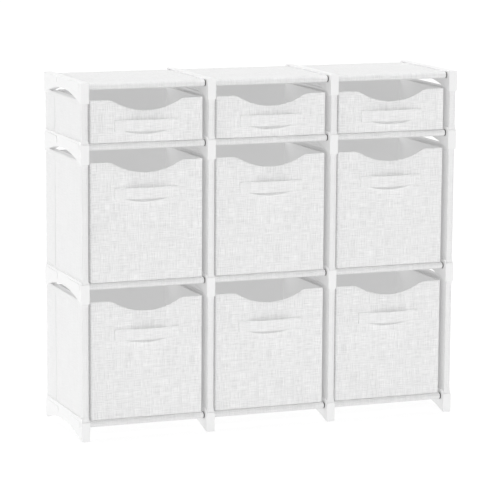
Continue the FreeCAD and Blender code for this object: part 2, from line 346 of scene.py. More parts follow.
class Bench:
    """A tree of shader nodes being built."""

    def __init__(self, tree: bpy.types.NodeTree) -> None:
        """Clear the tree."""
        self.tree = tree
        self.tree.nodes.clear()

    def node(self, kind: str, settings: dict[str, Any] | None = None,
             sockets: dict[int | str, Feed] | None = None) -> bpy.types.Node:
        """Add a node.

        Args:
            kind: Its type.
            settings: What is set on the node itself, first.
            sockets: Values or links of its inputs, by name or number.

        Returns:
            The node.
        """
        made = self.tree.nodes.new(kind)
        for key, value in (settings or {}).items():
            setattr(made, key, value)
        for key, value in (sockets or {}).items():
            self.feed(made.inputs[key], value)
        return made

    def feed(self, socket: bpy.types.NodeSocket, value: Feed) -> None:
        """Set an input to a value, or link it."""
        source = value.socket if isinstance(value, Wire) else value
        if isinstance(source, bpy.types.NodeSocket):
            self.tree.links.new(source, socket)
        else:
            socket.default_value = source

    def axes(self, source: bpy.types.NodeSocket) -> tuple[Wire, Wire, Wire]:
        """The three parts of a vector."""
        made = self.node("ShaderNodeSeparateXYZ", None, {0: source})
        return tuple(Wire(self, socket) for socket in made.outputs)

    def grain(self, x: Feed, y: Feed, z: Feed, detail: float = 2.0) -> Wire:
        """Smooth noise that varies over one unit of each of three values, around 0.5."""
        place = self.node("ShaderNodeCombineXYZ", None, {0: x, 1: y, 2: z})
        made = self.node("ShaderNodeTexNoise", {"noise_dimensions": "3D"},
                         {"Vector": place.outputs[0], "Scale": 1.0, "Detail": detail})
        return Wire(self, made.outputs[0])

    def tint(self, colour: tuple[float, float, float], tone: Wire) -> bpy.types.NodeSocket:
        """A colour made lighter or darker by a value around 1."""
        made = self.node("ShaderNodeVectorMath", {"operation": "SCALE"}, {0: colour, "Scale": tone})
        return made.outputs[0]

    def bump(self, height: Wire, distance: float, strength: float) -> bpy.types.NodeSocket:
        """The normal of a surface with a relief of that height."""
        made = self.node("ShaderNodeBump", None,
                         {"Height": height, "Distance": distance, "Strength": strength})
        return made.outputs[0]


def grey(level: float) -> tuple[float, float, float]:
    """A grey colour."""
    return level, level, level


class Finish(Bench):
    """A material being built round one shader."""

    def __init__(self, name: str) -> None:
        """Start the material."""
        self.material = bpy.data.materials.new(name)
        self.material.use_nodes = True
        super().__init__(self.material.node_tree)
        self.shader = self.node("ShaderNodeBsdfPrincipled")
        output = self.node("ShaderNodeOutputMaterial")
        self.feed(output.inputs["Surface"], self.shader.outputs["BSDF"])

    def dress(self, **sockets: Feed) -> None:
        """Set or link the shader's own inputs; an underscore stands for a space."""
        for key, value in sockets.items():
            self.feed(self.shader.inputs[key.replace("_", " ")], value)

    def on_cloth(self) -> tuple[Wire, Wire]:
        """The place on the cloth, in metres."""
        place = self.node("ShaderNodeUVMap", {"uv_map": CLOTH_MAP})
        return self.axes(place.outputs[0])[:2]

    def on_piece(self) -> tuple[Wire, Wire, Wire]:
        """The place on the piece, in metres."""
        return self.axes(self.node("ShaderNodeTexCoord").outputs["Object"])

    def speckle(self, place: Sequence[Wire], pitch: float) -> Wire:
        """Noise with as many grains a metre in every direction."""
        return self.grain(*(axis * pitch for axis in place))


@dataclass(frozen=True)
class Surface:
    """A finish; each kind adds its own pattern.

    Attributes:
        name: The material's name.
        shade: Its mean colour.
        glow: How brightly it glows of itself, with no lamp behind it. On the cloth and plastic this is
            painted light: it stands in for light coming through or scattering in the material and lifts the
            shade. On the floor it keeps the floor evenly bright.
        seed: Which stretch of its pattern it shows.
    """

    name: str
    shade: tuple[float, float, float]
    glow: float = 0.0
    seed: float = 0.0

    def make(self) -> bpy.types.Material:
        """Build the material."""
        bench = Finish(self.name)
        self.paint(bench)
        # Painted light: the finish glows of itself by its glow, lifting its shade.
        bench.dress(Emission_Color=(1.0, 1.0, 1.0, 1.0), Emission_Strength=self.glow)
        return bench.material

    def paint(self, bench: Finish) -> None:
        """Draw its pattern."""
        raise NotImplementedError


@dataclass(frozen=True)
class Linen(Surface):
    """Plain-woven cloth with thick and thin threads.

    Attributes:
        slub: How much the broad streaks of thick thread change its tone.
        thread_tone: How much single threads change its tone.
        thread: The pitch of its threads.
        relief: The height of its weave.
        slub_grain: How many thick threads lie side by side, and end to end, in a metre.
        thread_grain: The same for single threads.
    """

    # Painted light: the cloth glows a little of itself, lifting its shade.
    glow: float = 0.055
    slub: float = 0.21
    thread_tone: float = 0.48
    thread: float = 0.0008
    relief: float = 0.00012
    slub_grain: tuple[float, float] = (420.0, 10.0)
    thread_grain: tuple[float, float] = (1100.0, 40.0)

    def paint(self, bench: Finish) -> None:
        """Lay slubs and threads both ways, a slow cloud and the weave's relief."""
        u, v = bench.on_cloth()
        beside, along = self.slub_grain
        slub_up = bench.grain(u * beside, v * along, self.seed, 1.0)
        slub_across = bench.grain(u * along, v * beside, self.seed + 7.0, 1.0)
        beside, along = self.thread_grain
        thread_up = bench.grain(u * beside, v * along, self.seed + 13.0, 1.0)
        thread_across = bench.grain(u * along, v * beside, self.seed + 19.0, 1.0)
        cloud = bench.grain(u * 11.0, v * 11.0, self.seed + 23.0)
        tone = (1.0 + (slub_up + slub_across - 1.0) * self.slub
                + (thread_up + thread_across - 1.0) * self.thread_tone + (cloud - 0.5) * 0.03)
        turn = math.pi / self.thread
        weave = (u * turn).sine() * (v * turn).sine()
        height = weave * 0.5 + thread_up + thread_across + slub_up + slub_across
        bench.dress(Base_Color=bench.tint(self.shade, tone), Roughness=0.84 + thread_up * 0.1,
                    Normal=bench.bump(height, self.relief, 0.8))
        bench.dress(Sheen_Weight=0.12, Sheen_Roughness=0.4, Specular_IOR_Level=0.3)


@dataclass(frozen=True)
class Felt(Surface):
    """Soft non-woven cloth with a pressed grain.

    Attributes:
        press: The pitch of the pressed grain.
    """

    press: float = 0.0016

    def paint(self, bench: Finish) -> None:
        """Scatter fibres and press a diamond grain."""
        u, v = bench.on_cloth()
        fibre = bench.grain(u * 900.0, v * 900.0, self.seed, 3.0)
        cloud = bench.grain(u * 60.0, v * 60.0, self.seed + 5.0)
        turn = math.pi / self.press
        pressed = ((u + v) * turn).sine() * ((u - v) * turn).sine()
        tone = 1.0 + (fibre - 0.5) * 0.05 + (cloud - 0.5) * 0.025
        bench.dress(Base_Color=bench.tint(self.shade, tone), Roughness=0.8 + fibre * 0.12,
                    Normal=bench.bump(pressed * 0.4 + fibre, 0.0001, 0.6))
        bench.dress(Sheen_Weight=0.1, Sheen_Roughness=0.4, Specular_IOR_Level=0.3)


@dataclass(frozen=True)
class Moulding(Surface):
    """Satin moulded plastic with a fine spark-worn texture."""

    def paint(self, bench: Finish) -> None:
        """Draw the mould's pits and the slow marks of the plastic's flow."""
        x, y, z = place = bench.on_piece()
        pit = bench.speckle(place, 1500.0)
        flow = bench.grain(x * 14.0, y * 5.0, z * 14.0)
        tone = 1.0 + (flow - 0.5) * 0.02
        bench.dress(Base_Color=bench.tint(self.shade, tone), Roughness=0.44 + flow * 0.08 + pit * 0.06,
                    Normal=bench.bump(pit, 0.00003, 0.5), IOR=1.46, Specular_IOR_Level=0.25)


@dataclass(frozen=True)
class PaintedSteel(Surface):
    """Tube steel under a powder coat."""

    def paint(self, bench: Finish) -> None:
        """Draw the coat's orange peel and specks."""
        place = bench.on_piece()
        peel = bench.speckle(place, 420.0)
        speck = bench.speckle(place, 1800.0)
        tone = 1.0 + (speck - 0.5) * 0.04
        bench.dress(Base_Color=bench.tint(self.shade, tone), Roughness=0.42 + speck * 0.1,
                    Normal=bench.bump(peel, 0.00012, 0.35), Coat_Roughness=0.3)


@dataclass(frozen=True)
class SewingThread(Surface):
    """Twisted sewing thread."""

    def paint(self, bench: Finish) -> None:
        """Draw the twist."""
        x, y, z = bench.on_piece()
        twist = ((x + y + z) * 9000.0).sine()
        bench.dress(Base_Color=bench.tint(self.shade, 1.0 + twist * 0.04), Roughness=0.55 + twist * 0.06,
                    Normal=bench.bump(twist, 0.00005, 0.5), Sheen_Weight=0.1)


@dataclass(frozen=True)
class FloorPaint(Surface):
    """The studio floor's matt paint."""

    def paint(self, bench: Finish) -> None:
        """Draw faint broad patches."""
        x, y, z = bench.on_piece()
        patch = bench.grain(x * 0.6, y * 0.6, z)
        bench.dress(Base_Color=bench.tint(self.shade, 1.0 + (patch - 0.5) * 0.01), Roughness=0.9,
                    Specular_IOR_Level=0.1)


@dataclass(frozen=True)
class Wardrobe:
    """The unit's finishes, made once each."""

    bin_linen: bpy.types.Material
    bin_lining: bpy.types.Material
    strap_linen: bpy.types.Material
    sleeve_cloth: bpy.types.Material
    shelf_cloth: bpy.types.Material
    moulding: bpy.types.Material
    plug: bpy.types.Material
    steel: bpy.types.Material
    thread: bpy.types.Material

    @classmethod
    def stocked(cls) -> "Wardrobe":
        """Make every finish."""
        return cls(
            bin_linen=Linen("slub_linen", grey(0.79)).make(),
            # Painted light: the mid-grey lining glows strongly of itself, brightening the shaded insides of
            # the bins and sleeves.
            bin_lining=Felt("bin_lining", grey(0.48), glow=0.30, seed=3.0).make(),
            strap_linen=Linen("strap_linen", grey(0.81), slub=0.2, thread_tone=0.34, seed=31.0).make(),
            # Painted light: the sleeve and shelf cloth glow a little of themselves, lifting their shade.
            sleeve_cloth=Linen("sleeve_cloth", grey(0.78), slub=0.07, thread_tone=0.14,
                               thread=0.0006, relief=0.00006, glow=0.08, seed=41.0).make(),
            shelf_cloth=Linen("shelf_cloth", grey(0.74), slub=0.12, thread_tone=0.26,
                              thread=0.0006, relief=0.00008, glow=0.05, seed=53.0).make(),
            # Painted light: the moulding glows a little of itself, lifting the shaded faces of the
            # brackets, covers and tongues.
            moulding=Moulding("satin_moulding", grey(0.78), glow=0.12).make(),
            # Painted shadow: a near-black moulding for the plugs in the shelves' nose ends, where the gap
            # beside the bracket lies in shade.
            plug=Moulding("dark_plug", grey(0.12)).make(),
            steel=PaintedSteel("powder_coat", grey(0.80)).make(),
            thread=SewingThread("sewing_thread", grey(0.86)).make(),
        )


# ---- Stitches ----
class StitchTree:
    """A geometry tree that lays stitches along every line of a mesh."""

    def __init__(self, thread: bpy.types.Material) -> None:
        """Build the tree with its named sizes."""
        self.tree = bpy.data.node_groups.new("running_stitch", "GeometryNodeTree")
        self.inputs: dict[str, str] = {}
        self.socket("Lines", "INPUT", "NodeSocketGeometry")
        for name in ("Pitch", "Length", "Thickness"):
            self.socket(name, "INPUT", "NodeSocketFloat")
        self.socket("Stitches", "OUTPUT", "NodeSocketGeometry")
        bench = Bench(self.tree)
        entry = bench.node("NodeGroupInput").outputs
        long, thick = (Wire(bench, entry[name]) * 0.5 for name in ("Length", "Thickness"))
        sizes = bench.node("ShaderNodeCombineXYZ", None, {0: thick, 1: thick, 2: long})
        bead = bench.node("GeometryNodeMeshUVSphere", None, {"Segments": 6, "Rings": 4, "Radius": 1.0})
        stitch = bench.node("GeometryNodeTransform", None,
                            {"Geometry": bead.outputs["Mesh"], "Scale": sizes.outputs[0]})
        curve = bench.node("GeometryNodeMeshToCurve", None, {"Mesh": entry["Lines"]})
        points = bench.node("GeometryNodeCurveToPoints", {"mode": "LENGTH"},
                            {"Curve": curve.outputs["Curve"], "Length": entry["Pitch"]})
        jitter = bench.node("FunctionNodeRandomValue", {"data_type": "FLOAT"}, {"Seed": 5})
        floats = (socket for socket in jitter.inputs if socket.type == "VALUE")
        for bound, socket in zip(STITCH_SPREAD, floats):
            socket.default_value = bound
        spread = next(socket for socket in jitter.outputs if socket.type == "VALUE")
        laid = bench.node("GeometryNodeInstanceOnPoints", None,
                          {"Points": points.outputs["Points"], "Instance": stitch.outputs["Geometry"],
                           "Rotation": points.outputs["Rotation"], "Scale": spread})
        real = bench.node("GeometryNodeRealizeInstances", None, {"Geometry": laid.outputs["Instances"]})
        smooth = bench.node("GeometryNodeSetShadeSmooth", None, {"Geometry": real.outputs["Geometry"]})
        dressed = bench.node("GeometryNodeSetMaterial", None,
                             {"Geometry": smooth.outputs["Geometry"], "Material": thread})
        bench.node("NodeGroupOutput", None, {"Stitches": dressed.outputs["Geometry"]})

    def socket(self, name: str, way: str, kind: str) -> None:
        """Add a named input or output to the tree."""
        made = self.tree.interface.new_socket(name, in_out=way, socket_type=kind)
        self.inputs[name] = made.identifier

    def sew(self, name: str, lines: Sequence[Sequence[Vector]], pitch: float = 0.0045,
            length: float = 0.0033, thickness: float = 0.0007) -> bpy.types.Object:
        """Lay stitches along lines and make them a plain mesh.

        Args:
            name: The piece's name.
            lines: The lines, each a run of points.
            pitch: From one stitch to the next.
            length: Length of a stitch.
            thickness: Thickness of the thread.

        Returns:
            The stitches, as one object.
        """
        points: list[Vector] = []
        edges: list[tuple[int, int]] = []
        for line in lines:
            start = len(points)
            points.extend(line)
            edges.extend((start + i, start + i + 1) for i in range(len(line) - 1))
        guide_mesh = bpy.data.meshes.new(name + "_guide")
        guide_mesh.from_pydata(points, edges, [])
        guide = link(name + "_guide", guide_mesh)
        modifier = guide.modifiers.new("stitches", "NODES")
        modifier.node_group = self.tree
        for key, value in (("Pitch", pitch), ("Length", length), ("Thickness", thickness)):
            modifier[self.inputs[key]] = value
        graph = bpy.context.evaluated_depsgraph_get()
        mesh = bpy.data.meshes.new_from_object(guide.evaluated_get(graph))
        mesh.name = name
        guide.modifiers.remove(modifier)
        bpy.data.objects.remove(guide)
        return link(name, mesh)


def settle(piece: bpy.types.Object, body: str, slot: str, *nodes: str) -> None:
    """Let a finished piece ride on a body and stand for some nodes, which are hidden.

    Args:
        piece: The piece.
        body: The body that it moves with.
        slot: A material slot's name; not used.
        *nodes: The nodes that it stands for.
    """
    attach(piece, body)
    if nodes:
        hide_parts(*nodes)
    log.info("%s: %d faces on %s", piece.name, len(piece.data.polygons), body)


# ---- Bins ----
@dataclass
class FabricBin:
    """A sewn fabric box with a scooped front, a strap handle and a loose base board."""

    storey: Storey
    column: Column
    width: float = 0.292
    depth: float = 0.268
    front: float = -0.1355
    lift: float = 0.0005
    wall: float = 0.003
    corner: float = 0.0035
    scoop_width: float = 0.206
    scoop_depth: float = 0.028
    scoop_radius: float = 0.165
    hem: float = 0.009
    strap_width: float = 0.027
    strap_thickness: float = 0.002
    strap_length: float = 0.169
    patch_length: float = 0.030
    strap_bow: float = 0.011
    fold: float = 0.0003
    lift_off: float = 0.003
    tip_round: float = 0.0012
    quilting: float = 0.0003
    cupping: float = 0.0009
    foot_round: float = 0.0028
    swell: float = 0.0008
    ripple: float = 0.0004
    waist: float = 0.0012
    stitch_margin: float = 0.0035
    board_thickness: float = 0.003
    board_gap: float = 0.001

    @property
    def name(self) -> str:
        """The bin's name, which is its body's too."""
        return f"{self.storey.name.lower()}_bin_{self.column.name.lower()}"

    @property
    def middle(self) -> tuple[float, float]:
        """x and y of the bin's middle."""
        return self.column.value, self.front + self.depth / 2

    @property
    def foot(self) -> float:
        """Height of the bin's underside."""
        return self.storey.floor + self.lift

    def scoop(self, x: float) -> float:
        """How far the front's rim dips at a distance from the bin's middle.

        One wide arc runs out to the rim through a small arc at each shoulder.
        """
        half = self.scoop_width / 2
        away = abs(x)
        if away >= half:
            return 0.0
        slope = self.scoop_depth / half
        shoulder = (half ** 2 + self.scoop_depth ** 2) / (2 * self.scoop_depth) - self.scoop_radius
        join = self.scoop_radius * 2 * slope / (1 + slope ** 2)
        if away <= join:
            sag = self.scoop_radius - math.sqrt(self.scoop_radius ** 2 - away ** 2)
            return self.scoop_depth - sag
        return shoulder - math.sqrt(max(0.0, shoulder ** 2 - (half - away) ** 2))

    def rise(self, z: float) -> float:
        """How far up the walls a height is, from 0 to 1."""
        return clamp((z - self.foot) / (self.storey.rim - self.foot))

    def crown(self, x: float, z: float) -> float:
        """How far the front panel swells outwards at a place, in x from the bin's middle and in height."""
        share = clamp(x / self.width + 0.5)
        swell = self.swell * math.sin(math.pi * share) * math.sin(math.pi * self.rise(z))
        place = Vector((x * 13 + self.column.value * 31, self.storey.rim * 17, z * 13))
        return swell + self.ripple * noise.noise(place) * math.sin(math.pi * share)

    def slack(self, station: Station, z: float) -> float:
        """How far a wall stands out from the plain box at a station and height."""
        if station.share < 0:
            return 0.0
        if station.side == 0:
            return self.crown(station.x - self.column.value, z)
        across = math.sin(math.pi * station.share)
        place = Vector((station.x * 9, station.y * 9, z * 9))
        waist = -self.waist * across * math.sin(math.pi * self.rise(z) * 0.8)
        return waist + 2 * self.ripple * noise.noise(place) * across

    def stations(self) -> list[Station]:
        """The outline of the bin's walls."""
        shares = (even(72), even(16), even(18), even(16))
        return oblong(self.middle, self.width, self.depth, self.corner, shares)

    def top(self, station: Station) -> float:
        """Height of the rim at a station."""
        dip = self.scoop(station.x - self.column.value) if station.side == 0 and station.share >= 0 else 0.0
        return self.storey.rim - dip

    def shell(self, wardrobe: Wardrobe) -> bpy.types.Object:
        """Sew the walls and floor: outer cloth, a rolled rim and the lining."""
        stations = self.stations()
        round_foot, round_rim, rows = self.foot_round, self.wall / 2, 20
        levels: list[tuple[float, Callable[[float], float], int]] = []
        for inset, up in ((1.0, 0.0), (0.5, 0.13), (0.13, 0.5)):
            levels.append((round_foot * inset, lambda top, up=up: self.foot + round_foot * up, 0))
        for row in range(rows + 1):
            share = row / rows
            levels.append((0.0, lambda top, share=share: self.foot + round_foot
                           + share * (top - round_rim - self.foot - round_foot), 0))
        for step in range(1, 6):
            turn = math.pi * step / 6
            inset = round_rim * (1 - math.cos(turn))
            levels.append((inset, lambda top, turn=turn: top - round_rim * (1 - math.sin(turn)), 0))
        bottom = self.foot + self.wall
        for row in range(rows + 1):
            share = row / rows
            levels.append((self.wall, lambda top, share=share: top - round_rim
                           - share * (top - round_rim - bottom), 1))
        rings, along = [], []
        run = [0.0] * len(stations)
        for inset, height, _ in levels:
            ring = []
            for station in stations:
                z = height(self.top(station))
                ring.append(station.at(inset - self.slack(station, z), z))
            if rings:
                run = [total + (new - old).length for total, new, old in zip(run, ring, rings[-1])]
            rings.append(ring)
            along.append(run)
        finishes = [levels[i + 1][2] for i in range(len(levels) - 1)]
        draft = Draft()
        across = running_total([station.at(0.0, 0.0) for station in stations])
        start = 0.37 * self.column.value + 1.7 * self.storey.rim
        draft.skin(rings, [start + share for share in across], along, finishes, (0, 1))
        # The lining inside glows of itself: painted light on the bin's shaded insides.
        return draft.build(self.name + "_cloth", (wardrobe.bin_linen, wardrobe.bin_lining))

    def strap_line(self, x: float) -> float:
        """How far the strap's inner face stands off the panel at a distance from its middle."""
        span = self.strap_length / 2 - self.patch_length
        if abs(x) >= span:
            return 0.0
        radius = (span ** 2 + self.strap_bow ** 2) / (2 * self.strap_bow)
        return math.sqrt(radius ** 2 - x ** 2) - (radius - self.strap_bow)

    def strap(self, wardrobe: Wardrobe) -> bpy.types.Object:
        """Fold the strap: flat sewn ends, and a bow with rolled edges between them."""
        half, steps, near = self.strap_length / 2, 84, 0.5 * MM
        rings = []
        for step in range(steps + 1):
            x = -half + self.strap_length * step / steps
            stand = self.strap_line(x)
            slope = (self.strap_line(x + near) - self.strap_line(x - near)) / (2 * near)
            onward = Vector((1.0, -slope, 0.0)).normalized()
            out = Vector((onward.y, -onward.x, 0.0))
            sewn = ease((abs(x) - (half - self.patch_length)) / self.lift_off)
            end = ease((half - abs(x)) / self.tip_round)
            rings.append(self.strap_ring(x, stand, out, sewn, end))
        across = running_total(rings[0])
        lengths = running_total([ring[0] for ring in rings], closed=False)
        draft = Draft()
        along = [[length] * len(rings[0]) for length in lengths]
        draft.skin(rings, across, along, [0] * steps, (1, 2))
        return draft.build(self.name + "_strap", (wardrobe.strap_linen,), 60.0)

    def strap_ring(self, x: float, stand: float, out: Vector, sewn: float, end: float) -> list[Vector]:
        """The strap's section at one place, anticlockwise as seen from its right end.

        Args:
            x: Distance from the strap's middle.
            stand: How far its inner face is off the panel.
            out: The direction of its outer face.
            sewn: 1 where it is sewn down, 0 where it is free.
            end: 0 at its tip, 1 just inside it.

        Returns:
            The points of the section.
        """
        half = self.strap_width / 2 * (0.97 + 0.03 * end)
        base = Vector((self.column.value + x, self.front - self.crown(x, self.storey.strap), 0))
        base += Vector((0, -1, 0)) * stand
        spine = []
        for step in range(13):
            level = -1 + 2 * step / 12
            edge = abs(level) ** 6
            quilt = sewn * self.quilting * math.cos(level * math.pi * 1.5) * math.sin(x * 640)
            full = self.strap_thickness * (0.55 + 0.45 * end) * (0.86 + 0.14 * (1 - edge))
            full += quilt + self.fold * sewn * (0.3 + 0.7 * end)
            cup = (1 - sewn) * self.cupping * level ** 2
            spine.append((level * half, cup, full))
        low_tip, high_tip = spine[0], spine[-1]

        def point(stand_off: float, z: float) -> Vector:
            """A point of the section."""
            return base + out * stand_off + Vector((0, 0, self.storey.strap + z))

        ring = [point(cup + CLEAR, z) for z, cup, _ in reversed(spine)]
        ring.append(point(low_tip[1] + low_tip[2] * 0.5, low_tip[0] - 0.3 * MM))
        ring += [point(cup + full, z) for z, cup, full in spine]
        ring.append(point(high_tip[1] + high_tip[2] * 0.5, high_tip[0] + 0.3 * MM))
        return ring

    def seams(self) -> list[list[Vector]]:
        """The lines of stitches: one under the rim, and a crossed box on each end of the strap."""
        stations = self.stations()
        rim = []
        for station in stations + stations[:1]:
            z = self.top(station) - self.hem
            rim.append(station.at(-self.slack(station, z) - CLEAR, z))
        lines = [rim]
        margin, proud = self.stitch_margin, self.strap_thickness + self.fold + CLEAR
        for side in (-1, 1):
            outer = side * (self.strap_length / 2 - margin)
            inner = side * (self.strap_length / 2 - self.patch_length + margin)
            high = self.strap_width / 2 - margin
            box = [(outer, -high), (inner, -high), (inner, high), (outer, high), (outer, -high)]
            cross = [[(outer, -high), (inner, high)], [(outer, high), (inner, -high)]]
            for line in [box] + cross:
                lines.append([Vector((self.column.value + x,
                                      self.front - self.crown(x, self.storey.strap) - proud,
                                      self.storey.strap + z)) for x, z in line])
        return lines

    def board(self, wardrobe: Wardrobe) -> bpy.types.Object:
        """Wrap the base board: a thin slab with soft edges."""
        thick, gap = self.board_thickness, self.board_gap
        width = self.width - 2 * (self.wall + gap)
        depth = self.depth - 2 * (self.wall + gap)
        stations = oblong(self.middle, width, depth, 0.002, [even(8)] * 4)
        base = self.foot + self.wall
        levels = ((1.2 * MM, 0.0), (0.3 * MM, 0.4 * MM), (0.0, thick / 2),
                  (0.3 * MM, thick - 0.4 * MM), (1.2 * MM, thick))
        rings = [[station.at(inset, base + up) for station in stations] for inset, up in levels]
        across = running_total(rings[2])
        draft = Draft()
        draft.skin(rings, across, [[up] * len(stations) for _, up in levels], [0] * 4, (0, 1))
        return draft.build(self.name + "_base", (wardrobe.bin_linen,))

    def build(self, wardrobe: Wardrobe, stitches: StitchTree) -> None:
        """Make the bin's pieces and let them ride on its body."""
        shell = self.shell(wardrobe)
        strap = self.strap(wardrobe)
        thread = stitches.sew(self.name + "_stitching", self.seams())
        settle(shell, self.name, "bin_fabric", self.name + "_shell")
        settle(strap, self.name, "bin_fabric", self.name + "_handle")
        settle(thread, self.name, "bin_fabric")
        settle(self.board(wardrobe), self.name, "bin_fabric", self.name + "_board")
        shell.name


# ---- Sleeves ----
@dataclass
class SideSleeve:
    """A flat fabric tube drawn over a front and a back post."""

    storey: Storey
    gable: Gable
    width: float = 0.017
    depth: float = 0.301
    corner: float = 0.0025
    wall: float = 0.0015
    drop: float = 0.048
    tuck: float = 0.008
    fit: float = 0.00025
    hem: float = 0.014
    seam_from_back: float = 0.077
    hem_step: float = 0.0008
    single_ply: float = 0.0004
    waist: float = 0.0006
    ripple: float = 0.0003
    lap: float = 0.0008
    dip: float = 0.0012
    binding: float = 0.0035
    binding_height: float = 0.0007
    row_height: float = 0.012
    stitch_margin: float = 0.003
    seam_stitches: float = 0.0028
    seam_step: float = 0.02

    @property
    def name(self) -> str:
        """The sleeve's name."""
        return f"{self.storey.name.lower()}_sleeve_{self.gable.name.lower()}"

    @property
    def foot(self) -> float:
        """Height of the sleeve's lower edge."""
        return self.storey.floor + self.fit

    @property
    def head(self) -> float:
        """Height of the sleeve's upper edge."""
        return self.storey.ceiling - self.drop + self.tuck - self.fit

    def stations(self) -> list[Station]:
        """The outline of the tube, with more stations round its seam and its binding."""
        end_length = self.width - 2 * self.corner
        side_length = self.depth - 2 * self.corner
        front = with_ridge(even(4), 0.5 + self.binding / end_length, end_length,
                           [step * MM for step in (-1.1, -0.6, 0.0, 0.6, 1.1)])
        seam = (self.seam_from_back - self.corner) / side_length
        left = with_ridge(even(36), seam, side_length,
                          [step * MM for step in (-1.5, -1.1, -0.6, -0.2, 0.2, 0.6, 2.4, 3.0)])
        return oblong((self.gable.value, 0.0), self.width, self.depth, self.corner,
                      (front, even(36), even(4), left), 5)

    def slack(self, station: Station, z: float) -> float:
        """How far the cloth lies inside the tube's own outline at a station and height."""
        rise = (z - self.foot) / (self.head - self.foot)
        hem = sum(ease((self.hem - away) / self.hem_step) for away in (z - self.foot, self.head - z))
        free = 1 - min(1.0, hem)
        inset = self.single_ply * free
        if station.side in (1, 3) and station.share >= 0:
            place = Vector((self.gable.value * 20 + station.side, station.y * 8, z * 8))
            across = math.sin(math.pi * station.share)
            waist = math.sin(math.pi * clamp(rise))
            inset += across * (self.waist * waist + self.ripple * (1 + noise.noise(place)) * waist)
        return inset - self.ridge(station) * free

    def ridge(self, station: Station) -> float:
        """Height of the seam on the left face, or of the binding on the front, at a station."""
        if station.share < 0:
            return 0.0
        if station.side == 3:
            side_length = self.depth - 2 * self.corner
            onward = station.share * side_length + self.corner - self.seam_from_back
            lap = ease((onward + 0.2 * MM) / (0.4 * MM)) * (1 - ease((onward - 2.4 * MM) / (0.6 * MM)))
            dip = ease((onward + 1.5 * MM) / (0.4 * MM)) * (1 - ease((onward + 0.6 * MM) / (0.4 * MM)))
            return self.lap * lap - self.dip * dip
        if station.side == 0:
            end_length = self.width - 2 * self.corner
            away = abs((station.share - 0.5) * end_length - self.binding)
            return self.binding_height * (1 - ease((away - 0.6 * MM) / (0.5 * MM)))
        return 0.0

    def tube(self, wardrobe: Wardrobe) -> bpy.types.Object:
        """Sew the tube with its hems, seam and binding."""
        stations = self.stations()
        height = self.head - self.foot
        rows = max(10, round(height / self.row_height))
        half, close = self.wall / 2, 0.5 * MM
        steps = sorted({share * height for share in even(rows)}
                       | {self.hem - self.hem_step, self.hem,
                          height - self.hem, height - self.hem + self.hem_step})
        steps = [step for step in steps if step in (0.0, height) or close < step < height - close]
        outer = [(0.0, half + step * (height - 2 * half) / height) for step in steps]
        inner = [(self.wall, rise) for _, rise in reversed(outer)]
        rim = [(half * (1 - math.cos(turn)), half * math.sin(turn))
               for turn in (math.pi * step / 4 for step in range(1, 4))]
        levels = outer + [(inset, height - half + rise) for inset, rise in rim]
        levels += inner + [(self.wall - inset, half - rise) for inset, rise in rim]
        rings, along, run = [], [], 0.0
        for index, (inset, rise) in enumerate(levels):
            z = self.foot + rise
            rings.append([station.at(inset + self.slack(station, z), z) for station in stations])
            if index:
                run += abs(rise - levels[index - 1][1]) + CLEAR
            along.append([run] * len(stations))
        along.append([run + close] * len(stations))
        draft = Draft()
        across = running_total([station.at(0.0, 0.0) for station in stations])
        start = 0.41 * self.gable.value
        # The inner faces take the glowing lining: painted light that lifts the shade inside the sleeves.
        inside = range(len(outer) + len(rim) - 1, len(outer) + len(rim) + len(inner))
        finishes = [1 if band in inside else 0 for band in range(len(levels))]
        draft.skin(rings, [start + share for share in across], along, finishes)
        return draft.build(self.name + "_cloth", (wardrobe.sleeve_cloth, wardrobe.bin_lining), 60.0)

    def seams(self) -> list[list[Vector]]:
        """The lines of stitches: both hems, and one down each side of the seam."""
        stations = self.stations()
        lines = []
        margin = self.hem - self.stitch_margin
        for z in (self.foot + margin, self.head - margin):
            lines.append([station.at(self.slack(station, z) - CLEAR, z)
                          for station in stations + stations[:1]])
        y = self.depth / 2 - self.seam_from_back - self.seam_stitches
        near = min((s for s in stations if s.side == 3 and s.share >= 0), key=lambda s: abs(s.y - y))
        rows = [self.foot + self.hem + step * self.seam_step
                for step in range(int((self.head - self.foot - 2 * self.hem) / self.seam_step) + 1)]
        lines.append([near.at(self.slack(near, z) - CLEAR, z) for z in rows])
        return lines

    def build(self, wardrobe: Wardrobe) -> list[list[Vector]]:
        """Make the sleeve, settle it on the frame and give the lines that its stitches follow."""
        tube = self.tube(wardrobe)
        settle(tube, "frame", "frame_fabric", f"{self.storey.name.lower()}_side_sleeves")
        return self.seams()


